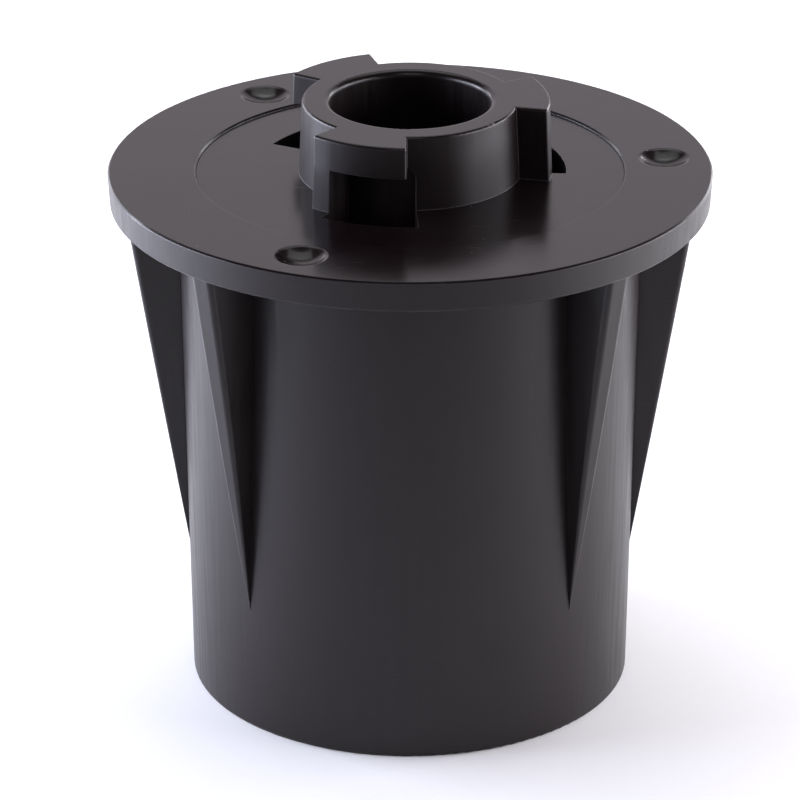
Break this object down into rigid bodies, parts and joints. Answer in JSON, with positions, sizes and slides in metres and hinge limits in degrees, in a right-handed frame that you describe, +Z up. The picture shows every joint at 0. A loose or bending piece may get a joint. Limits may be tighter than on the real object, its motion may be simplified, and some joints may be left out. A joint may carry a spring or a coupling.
{
  "type": "protein skimmer",
  "caption": "Flanged, ribbed pump body of a deck-mounted protein skimmer, with a central neck, bayonet lugs and an inner motor that spins a needle wheel.",
  "frame": {"origin": "centre of the barrel's bottom rim, on the surface it stands on", "axes": "+Z up along the neck's axis, -Y towards the front view, +X to the right seen from the front"},
  "size_m": [0.1, 0.1, 0.1025],
  "materials": {
    "shell_black": "semi-gloss moulded black ABS, a little worn",
    "pod_black": "satin moulded black ABS",
    "seal_rubber": "black nitrile rubber",
    "core_steel": "stacked electrical steel sheets",
    "coil_copper": "enamelled copper wire",
    "potting_resin": "dark potting resin",
    "screw_steel": "stainless steel",
    "screen_black": "satin black polypropylene",
    "inlet_grey": "grey polypropylene",
    "gland_black": "black nylon",
    "ceramic_white": "polished ceramic",
    "ferrite": "ground ferrite magnet",
    "hub_white": "natural nylon",
    "bush_carbon": "carbon-filled PTFE",
    "wheel_white": "white moulded nylon"
  },
  "bodies": {
    "skimmer_body": {"housing_barrel": "shell_black", "housing_flange": "shell_black", "housing_gussets": "shell_black", "neck_cap": "shell_black", "neck_o_ring": "seal_rubber", "motor_housing": "pod_black", "motor_cap": "pod_black", "stator_core": "core_steel", "stator_coils": "coil_copper", "resin_seal": "potting_resin", "ring_gasket": "seal_rubber", "chamber_ring": "pod_black", "base_plate": "pod_black", "base_o_ring": "seal_rubber", "base_screws": "screw_steel", "intake_screen": "screen_black", "air_inlet": "inlet_grey", "cable_gland": "gland_black", "gland_nut": "gland_black", "shaft": "ceramic_white", "shaft_seat_lower": "seal_rubber", "shaft_seat_upper": "seal_rubber", "thrust_washers": "ceramic_white"},
    "rotor": {"rotor_hub": "hub_white", "rotor_magnet": "ferrite", "bush_upper": "bush_carbon", "bush_lower": "bush_carbon"},
    "wheel": {"needle_wheel": "wheel_white"}
  },
  "joints": [
    {"name": "rotor_spin", "type": "hinge", "parent": "skimmer_body", "child": "rotor", "pos_m": [0, 0, 0.048], "axis": [0, 0, 1], "continuous": true},
    {"name": "wheel_free_turn", "type": "hinge", "parent": "rotor", "child": "wheel", "pos_m": [0, 0, 0.025], "axis": [0, 0, 1], "range_deg": [0, 276]}
  ]
}
